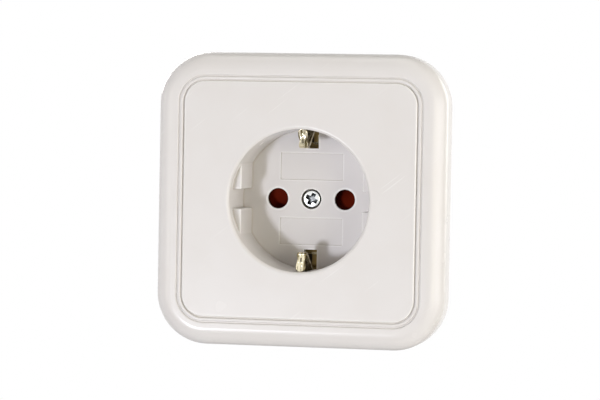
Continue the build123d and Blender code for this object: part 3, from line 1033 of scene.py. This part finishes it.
@dataclass
class ShutterGear:
    """The shutter behind the pin holes, its retainer and its return spring.

    Attributes:
        wire_r: the spring wire's radius.
        wire_y: the depth of the wire's centre line.
        coil_r: the radius of the wire's coil round the boss.
        coil_from: the angle in degrees where the lower leg leaves the coil.
        coil_to: the angle in degrees where the upper leg leaves it.
        leg: the length of each straight leg.
        coil_steps: steps along the coil.
        wire_step: the greatest step along the wire.
        still_z: the height below which the wire would stay with the plate; not used.
        moved_z: the height above which it would go with the shutter; not used.
        around: points round the wire.
        crease: the angle in degrees above which the wire's edges stay sharp.
    """

    wire_r: float = 0.25
    wire_y: float = 12.4
    coil_r: float = 4.775
    coil_from: float = -53.3
    coil_to: float = 96.54
    leg: float = 8.21
    coil_steps: int = 40
    wire_step: float = 0.4
    still_z: float = -5.0
    moved_z: float = 3.4
    around: int = 14
    crease: float = 60.0

    def dress(self) -> None:
        """Give the moulded pieces their finishes."""
        dress(["shutter"], SHUTTER_RED)
        dress(["shutter_retainer"], RETAINER_BLACK)

    def wire_path(self) -> list[Flat]:
        """The wire's centre line.

        Returns:
            Its points, seen from the front.
        """
        first, last = math.radians(self.coil_from), math.radians(self.coil_to)
        turns = [first + (last - first) * step / self.coil_steps for step in range(self.coil_steps + 1)]
        coil = [polar(self.coil_r, turn) for turn in turns]
        start = (coil[0][0] + self.leg * math.sin(first), coil[0][1] - self.leg * math.cos(first))
        end = (coil[-1][0] - self.leg * math.sin(last), coil[-1][1] + self.leg * math.cos(last))
        return [start, *coil, end]

    def build(self) -> None:
        """Make the spring."""
        rings = []
        for (x, z), (ahead_x, ahead_z), _ in along(self.wire_path(), self.wire_step):
            ring = []
            for across, deep in circle(self.wire_r, self.around):
                ring.append((x - ahead_z * across, self.wire_y + deep, z + ahead_x * across))
            rings.append(ring)
        piece = mesh_piece("return_spring", *loft(rings), self.crease)
        piece.data.materials.append(SPRING_STEEL.material())
        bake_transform(piece)
        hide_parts("shutter_spring")
        log.info("built %s, %d faces", piece.name, len(piece.data.polygons))


@dataclass
class EarthStrap:
    """The earth strap: a flat bridge whose ends bend forward into sprung clips.

    Attributes:
        thick: the sheet's thickness.
        edge_r: the rounding of the sheet's edges.
        clip_width: the width of a clip's strip.
        tip: the Y and Z of the clip's tip, on the sheet's middle.
        apex: the Y and Z of the bend that touches the plug.
        heel: the Y and Z of the bend at the well's wall.
        foot: the Y and Z of the bend on the base.
        bends: the bend radii at apex, heel and foot.
        tip_r: the rounding of the tip's corners.
        waist: how far each side draws in on the front leg.
        waist_at: the distance of the waist from the tip.
        waist_run: how far along the strip the waist spreads.
        slit_length: the length of the slit at the waist.
        slit_width: its width.
        slit_points: points round the slit.
        rib: the height of the pressed rib on each side of the slit.
        rib_x: the distance of a rib from the clip's middle.
        rib_half: half a rib's length.
        rib_width: a rib's half width.
        dimple: the depth of the pressed dimple at the tip.
        dimple_at: the distance of the dimple from the tip.
        dimple_r: the dimple's radius.
        bridge_half: the half width of the bridge.
        bridge_end: the Z at which the bridge ends and the strip goes on.
        bridge_edge: the rounding of the bridge's edges.
        overlap: how far a clip's strip runs on into the bridge.
        lug: the low and high X and Z of the terminal lug.
        holes: the X, Z and radius of each hole in the bridge.
        hole_points: points round a hole.
        bend_step: the angle in degrees between points on a bend.
        strip_step: the greatest step along the strip.
        flat_steps: steps from the strip's middle to its edge.
        edge_steps: steps round each of its rounded edges.
        crease: the angle in degrees above which a clip's edges stay sharp.
        bridge_crease: the same angle for the bridge.
    """

    thick: float = 0.6
    edge_r: float = 0.24
    clip_width: float = 2.7
    tip: Flat = (-6.2, 19.56)
    apex: Flat = (-4.4, 13.8)
    heel: Flat = (5.0, 19.66)
    foot: Flat = (15.7, 19.66)
    bends: tuple[float, float, float] = (1.4, 2.0, 1.3)
    tip_r: float = 1.15
    waist: float = 0.30
    waist_at: float = 3.3
    waist_run: float = 0.9
    slit_length: float = 1.3
    slit_width: float = 0.4
    slit_points: int = 22
    rib: float = 0.16
    rib_x: float = 0.5
    rib_half: float = 0.95
    rib_width: float = 0.22
    dimple: float = 0.2
    dimple_at: float = 1.3
    dimple_r: float = 0.5
    bridge_half: float = 4.0
    bridge_end: float = 15.66
    bridge_edge: float = 0.08
    overlap: float = 0.4
    lug: tuple[Flat, Flat] = ((0.0, 9.91), (14.9, 17.71))
    holes: tuple[Point, ...] = (
        (0.0, 0.0, 1.55), (0.0, 8.0, 1.25), (0.0, -8.0, 1.25), (11.0, 13.81, 1.8),
    )
    hole_points: int = 32
    bend_step: float = 7.5
    strip_step: float = 0.2
    flat_steps: int = 8
    edge_steps: int = 3
    crease: float = 50.0
    bridge_crease: float = 40.0

    def half_width(self, reached: float) -> float:
        """Half the strip's width, which draws in at the waist and at the tip.

        Args:
            reached: the distance from the tip.

        Returns:
            Half the width there.
        """
        half = self.clip_width / 2
        half -= self.waist * math.exp(-(((reached - self.waist_at) / self.waist_run) ** 2))
        if reached < self.tip_r:
            half -= self.tip_r - math.sqrt(self.tip_r**2 - (self.tip_r - reached) ** 2)
        return half

    def pressed(self, reached: float, across: float) -> float:
        """How deep the sheet is pressed by the dimple and the ribs.

        Args:
            reached: the distance from the tip.
            across: the distance from the strip's middle.

        Returns:
            The depth of the dimple, less the height of a rib.
        """
        along_rib = ((reached - self.waist_at) / self.rib_half) ** 4
        off_rib = (abs(across) - self.rib_x) / self.rib_width
        off_spot = (reached - self.dimple_at) ** 2 + across**2
        spot = self.dimple * math.exp(-off_spot / self.dimple_r**2)
        return spot - self.rib * math.exp(-along_rib - off_rib**2)

    def section(self, place: Flat, heading: Flat, reached: float) -> list[Point]:
        """One cross-section of the upper clip's strip.

        Args:
            place: the Y and Z of its middle.
            heading: the strip's direction there.
            reached: the distance from the tip.

        Returns:
            The points round the section.
        """
        half = self.half_width(reached)
        up, soft = self.thick / 2, min(self.edge_r, half / 2)
        flat = half - soft
        count = self.flat_steps
        near = [(flat * step / count, up) for step in range(-count, count + 1)]
        turns = [math.pi / 2 * step / self.edge_steps for step in range(self.edge_steps + 1)]
        for angle in turns[1:]:
            near.append((flat + soft * math.sin(angle), up - soft + soft * math.cos(angle)))
        for angle in turns[:-1]:
            near.append((flat + soft * math.cos(angle), soft - up - soft * math.sin(angle)))
        out_y, out_z = heading[1], -heading[0]
        points = []
        for x, level in near + [(-x, -level) for x, level in near]:
            lift = level - self.pressed(reached, x)
            points.append((x, place[0] + lift * out_y, place[1] + lift * out_z))
        return points

    def clip(self, name: str, side: int) -> Piece:
        """One sprung clip.

        Args:
            name: the piece's name.
            side: 1 for the upper clip, -1 for the lower.

        Returns:
            The new object.
        """
        end = (self.foot[0], self.bridge_end - self.overlap)
        corners = [self.tip, self.apex, self.heel, self.foot, end]
        path = rounded_path(corners, self.bends, self.bend_step)
        strip = [self.section(*spot) for spot in along(path, self.strip_step)]
        pieces = []
        for rings in (strip, self.slit()):
            points, faces = loft(rings)
            points = [(x, y, side * z) for x, y, z in points]
            pieces.append(mesh_piece(name, points, faces, self.crease))
        clip, cutter = pieces
        carve(clip, [cutter])
        soften(clip, self.crease)
        return clip

    def slit(self) -> list[list[Point]]:
        """The mesh that cuts the slit in the upper clip's front leg.

        Returns:
            Its two rings.
        """
        leg = (Vector(self.apex) - Vector(self.tip)).normalized()
        middle = Vector(self.tip) + leg * self.waist_at
        end = self.slit_width / 2
        straight = self.slit_length / 2 - end
        loop = []
        for step in range(self.slit_points):
            x, run = polar(end, FULL_TURN * (step + 0.5) / self.slit_points)
            loop.append((x, run + math.copysign(straight, run)))
        rings = []
        for level in (-2 * self.thick, 2 * self.thick):
            centre = middle + Vector((leg.y, -leg.x)) * level
            rings.append([(x, centre.x + leg.x * run, centre.y + leg.y * run) for x, run in loop])
        return rings

    def bridge(self) -> Piece:
        """The flat middle with its terminal lug and holes.

        Returns:
            The new object.
        """
        (low_x, low_z), (high_x, high_z) = self.lug
        half, end = self.bridge_half, self.bridge_end
        outline = [
            (-half, -end), (half, -end), (half, low_z), (high_x, low_z),
            (high_x, high_z), (low_x, high_z), (low_x, end), (-half, end),
        ]
        curve = bpy.data.curves.new("earth_bridge", "CURVE")
        curve.dimensions = "2D"
        curve.fill_mode = "BOTH"
        curve.extrude = (self.thick / 2 - self.bridge_edge) * MM
        curve.bevel_depth = self.bridge_edge * MM
        curve.bevel_resolution = 1
        rounds = [circle(radius, self.hole_points, (x, z)) for x, z, radius in self.holes]
        for loop in [outline, *rounds]:
            spline = curve.splines.new("POLY")
            spline.points.add(len(loop) - 1)
            for spot, (x, z) in zip(spline.points, loop):
                spot.co = (x * MM, z * MM, 0, 1)
            spline.use_cyclic_u = True
        holder = put("earth_bridge_curve", curve)
        seen = holder.evaluated_get(bpy.context.evaluated_depsgraph_get())
        mesh = bpy.data.meshes.new_from_object(seen)
        bpy.data.objects.remove(holder)
        upright = Matrix.Rotation(math.pi / 2, 4, "X")
        mesh.transform(Matrix.Translation((0, self.foot[0] * MM, 0)) @ upright)
        piece = put("earth_bridge", mesh)
        soften(piece, self.bridge_crease)
        return piece

    def build(self) -> None:
        """Make the clips and the bridge in one sheet finish."""
        material = CLIP_NICKEL.material()
        clips = [self.clip("earth_clip_upper", 1), self.clip("earth_clip_lower", -1)]
        for piece in (*clips, self.bridge()):
            fit(piece, material, Body.HOUSING, ["earth_strap"])


@dataclass
class TerminalBlock:
    """The base block, the pin contacts and the screw terminals.

    Attributes:
        line_seat: the depth of the tabs that the line clamps stand on.
        earth_seat: the depth of the lug that the earth clamp stands on.
        at: the X and Z of the earth terminal; the line terminals lie below, on both sides.
        stack: the height of clamp and wire room under a screw's head.
        head: the height of a screw's head.
        head_r: the head's radius.
        crown: how far the head's face falls off towards its edge.
        shank_r: the outer radius of a screw's thread.
        grip: the length of thread behind the seat.
        turns: the angles in degrees of the left, right and earth screw's slot.
    """

    line_seat: float = 16.6
    earth_seat: float = 15.4
    at: Flat = (11.0, 13.81)
    stack: float = 2.0
    head: float = 2.4
    head_r: float = 2.8
    crown: float = 0.1
    shank_r: float = 1.75
    grip: float = 7.0
    turns: Point = (12.0, 58.0, 81.0)

    def dress(self) -> None:
        """Give the base, contacts and clamps their finishes."""
        dress(["base"], BASE_BROWN)
        dress(["left_contact", "right_contact"], CONTACT_BRASS)
        dress(["left_clamp", "right_clamp", "earth_clamp", "strap_rivets"], SCREW_ZINC)

    def build(self) -> None:
        """Make the three terminal screws."""
        material = SCREW_ZINC.material()
        x, z = self.at
        plan = (
            ("left", (-x, -z), self.line_seat),
            ("right", (x, -z), self.line_seat),
            ("earth", (x, z), self.earth_seat),
        )
        for (name, place, seat), turn in zip(plan, self.turns):
            Screw(
                f"{name}_wire_screw",
                f"{name}_terminal_screw",
                places=[place],
                head_front=seat - self.stack - self.head,
                head_r=self.head_r,
                head=self.head,
                shank_r=self.shank_r,
                length=self.stack + self.grip,
                drive_turn=turn,
                crown=self.crown,
            ).build(material, "screw_zinc")


@dataclass
class WallFixing:
    """The support ring, its screws and the spreading claws.

    Attributes:
        ring_front: the depth of the ring's front face.
        ring_screw_at: the X and Z distance of a ring screw from the axis.
        ring_screw_head: the height of its head.
        ring_screw_r: the head's radius.
        ring_screw_length: the length of its shank.
        ring_screw_turn: the angle of its slot in degrees.
        claw_screw_x: the X distance of a claw's draw screw from the axis.
        claw_screw_head: the height of its head.
        claw_screw_r: the head's radius.
        claw_screw_length: the length of its shank.
        claw_screw_turn: the angle of its slot in degrees.
        shank_r: the outer radius of every thread.
    """

    ring_front: float = -1.2
    ring_screw_at: float = 18.308
    ring_screw_head: float = 1.6
    ring_screw_r: float = 2.5
    ring_screw_length: float = 10.2
    ring_screw_turn: float = 35.0
    claw_screw_x: float = 27.3
    claw_screw_head: float = 2.0
    claw_screw_r: float = 2.75
    claw_screw_length: float = 14.0
    claw_screw_turn: float = 20.0
    shank_r: float = 1.5

    def dress(self) -> None:
        """Give the sheet metal and the pins their finishes."""
        dress(["support_ring", "left_claw", "right_claw"], RING_ZINC)
        dress(["left_claw_pin", "right_claw_pin"], SCREW_ZINC)

    def build(self) -> None:
        """Make the ring screws and the draw screws."""
        material = SCREW_ZINC.material()
        spot = self.ring_screw_at
        Screw(
            "ring_fixing_screws",
            "ring_screws",
            places=[(x, z) for x in (-spot, spot) for z in (-spot, spot)],
            head_front=self.ring_front - self.ring_screw_head,
            head_r=self.ring_screw_r,
            head=self.ring_screw_head,
            shank_r=self.shank_r,
            length=self.ring_screw_length,
            drive_turn=self.ring_screw_turn,
        ).build(material, "screw_zinc")
        for name, side, body in (("left", -1, Body.LEFT_CLAW), ("right", 1, Body.RIGHT_CLAW)):
            Screw(
                f"{name}_draw_screw",
                f"{name}_claw_screw",
                places=[(side * self.claw_screw_x, 0.0)],
                head_front=self.ring_front - self.claw_screw_head,
                head_r=self.claw_screw_r,
                head=self.claw_screw_head,
                shank_r=self.shank_r,
                length=self.claw_screw_length,
                body=body,
                drive_turn=side * self.claw_screw_turn,
            ).build(material, "screw_zinc")


@dataclass(frozen=True)
class Lamp:
    """A soft lamp that points at the socket.

    Attributes:
        name: the lamp's name.
        way: the direction from the socket to the lamp.
        distance: how far away it stands, in metres.
        size: its width in metres.
        level: the light that it throws on a surface facing it, where 1 shows a colour as written.
        colour: the lamp's colour.
    """

    name: str
    way: Point
    distance: float
    size: float
    level: float
    colour: Colour = WHITE

    def add(self) -> None:
        """Put the lamp in the scene."""
        light = bpy.data.lights.new(self.name, "AREA")
        light.shape = "DISK"
        light.size = self.size
        light.energy = self.level * (math.pi * self.distance) ** 2
        light.color = self.colour
        lamp = put(self.name, light)
        toward = Vector(self.way).normalized()
        lamp.location = toward * self.distance
        lamp.rotation_euler = toward.to_track_quat("Z", "Y").to_euler()


@dataclass
class Studio:
    """The camera, the lamps, the white surroundings and the floor.

    Attributes:
        azimuth: the camera's angle to the right, in degrees.
        elevation: its angle above the socket, in degrees.
        roll: its turn about the line of sight, in degrees.
        distance: its distance in millimetres.
        focal: its focal length in picture widths.
        sensor: its picture's width in millimetres.
        nearest: the shortest distance in metres that it shows.
        aim: the point in millimetres at the picture's middle.
        ambient: the level of the light from all round.
        ambient_colour: the colour of that light.
        floor_z: the floor's height in metres.
        floor_r: the floor's radius in metres.
        floor_points: points round the floor.
        floor_tones: the floor's darkest and palest colour, linear.
        floor_ends: the noise values at which it has them.
        floor_cloud: the size in millimetres of its pale places.
        floor_roughness: the floor's roughness.
        floor_glow: how much paler the floor looks than it is lit.
        lamps: the lamps round the socket.
    """

    azimuth: float = 12.04
    elevation: float = 1.98
    roll: float = 1.03
    distance: float = 714.9
    focal: float = 4.3795
    sensor: float = 36.0
    nearest: float = 0.01
    aim: Point = (0.503, -10.5, 0.273)
    ambient: float = 0.04
    ambient_colour: Colour = (1.0, 0.93, 0.83)
    floor_z: float = -0.75
    floor_r: float = 1.4
    floor_points: int = 96
    floor_tones: tuple[Colour, Colour] = ((0.86, 0.86, 0.86), (0.88, 0.88, 0.88))
    floor_ends: Flat = (0.3, 0.7)
    floor_cloud: float = 400.0
    floor_roughness: float = 0.8
    floor_glow: float = 0.62
    lamps: tuple[Lamp, ...] = (
        Lamp("key", (-0.32, -1.0, -0.25), 2.0, 0.24, 0.40, (0.88, 0.90, 1.0)),
        Lamp("right_front", (0.9, -1.0, 0.0), 1.0, 0.5, 0.26, (1.0, 0.95, 0.74)),
        Lamp("left_front", (-0.9, -1.0, 0.0), 1.0, 0.5, 0.23, (1.0, 0.97, 0.90)),
        Lamp("right_side", (1.0, -0.20, 0.0), 0.7, 0.5, 0.50, (1.0, 0.98, 0.93)),
        Lamp("right_slant", (1.0, -0.55, 0.0), 0.9, 0.4, 0.13, (0.95, 0.92, 1.0)),
        Lamp("left_side", (-1.0, -0.12, 0.0), 0.7, 0.5, 0.15, (1.0, 0.95, 0.86)),
        Lamp("top_side", (0.0, -0.12, 1.0), 0.7, 0.5, 0.36, (1.0, 0.99, 0.95)),
        Lamp("rear_left", (-0.7, 1.0, 0.5), 1.0, 0.6, 0.45),
        Lamp("rear_right", (0.9, 1.0, 0.3), 1.0, 0.6, 0.30),
    )

    def set_camera(self) -> None:
        """Stand the camera where the photograph was taken from."""
        turn, lift = math.radians(self.azimuth), math.radians(self.elevation)
        level = Vector((math.sin(turn), -math.cos(turn), 0.0))
        back = level * math.cos(lift) + Vector((0.0, 0.0, math.sin(lift)))
        right = Vector((math.cos(turn), math.sin(turn), 0.0))
        up = back.cross(right)
        pose = Matrix((right, up, back)).transposed().to_4x4()
        pose @= Matrix.Rotation(math.radians(self.roll), 4, "Z")
        pose.translation = (Vector(self.aim) + back * self.distance) * MM
        lens = bpy.data.cameras.new("camera")
        lens.sensor_width = self.sensor
        lens.lens = self.focal * self.sensor
        lens.clip_start = self.nearest
        camera = put("camera", lens)
        camera.matrix_world = pose
        bpy.context.scene.camera = camera

    def set_world(self) -> None:
        """Show white all round, and light the socket at the ambient level."""
        world = bpy.data.worlds.new("white_room")
        world.use_nodes = True
        bpy.context.scene.world = world
        tree = world.node_tree
        tree.nodes.clear()
        ray = tree.nodes.new("ShaderNodeLightPath")
        seen = ray.outputs["Is Camera Ray"]
        for name in ("Is Glossy Ray", "Is Transmission Ray"):
            either = tree.nodes.new("ShaderNodeMath")
            either.operation = "MAXIMUM"
            tree.links.new(seen, either.inputs[0])
            tree.links.new(ray.outputs[name], either.inputs[1])
            seen = either.outputs[0]
        mix = tree.nodes.new("ShaderNodeMixShader")
        tree.links.new(seen, mix.inputs[0])
        levels = ((1, self.ambient_colour, self.ambient), (2, WHITE, 1.0))
        for socket, colour, strength in levels:
            glow = tree.nodes.new("ShaderNodeBackground")
            glow.inputs["Color"].default_value = (*colour, 1.0)
            glow.inputs["Strength"].default_value = strength
            tree.links.new(glow.outputs[0], mix.inputs[socket])
        output = tree.nodes.new("ShaderNodeOutputWorld")
        tree.links.new(mix.outputs[0], output.inputs["Surface"])

    def set_floor(self) -> None:
        """Lay a pale round floor well below the socket."""
        mesh = bpy.data.meshes.new("floor")
        rim = [(x, y, self.floor_z) for x, y in circle(self.floor_r, self.floor_points)]
        mesh.from_pydata(rim, [], [tuple(range(self.floor_points))])
        floor = put("floor", mesh)
        graph = NodeGraph("floor_white")
        clouds = graph.noise(graph.place(), self.floor_cloud)
        tone = graph.ramp(clouds, self.floor_ends, *self.floor_tones)
        seen = graph.add("ShaderNodeLightPath").outputs["Is Camera Ray"]
        glow = graph.spread(seen, (0.0, 1.0), (0.0, self.floor_glow))
        graph.paint(Base_Color=tone, Roughness=self.floor_roughness)
        graph.paint(Emission_Color=WHITE, Emission_Strength=glow)
        mesh.materials.append(graph.material)

    def build(self) -> None:
        """Set up the whole studio."""
        bpy.context.scene.view_settings.view_transform = "Standard"
        self.set_camera()
        self.set_world()
        self.set_floor()
        for lamp in self.lamps:
            lamp.add()
            log.info("lit by %s", lamp.name)


def main() -> None:
    """Build and dress the socket, sub-assembly by sub-assembly."""
    logging.basicConfig(level=logging.INFO, format="%(message)s")
    for part in (Faceplate(), ShutterGear(), TerminalBlock(), WallFixing()):
        part.dress()
        part.build()
    EarthStrap().build()
    Studio().build()


if __name__ == "__main__":
    main()
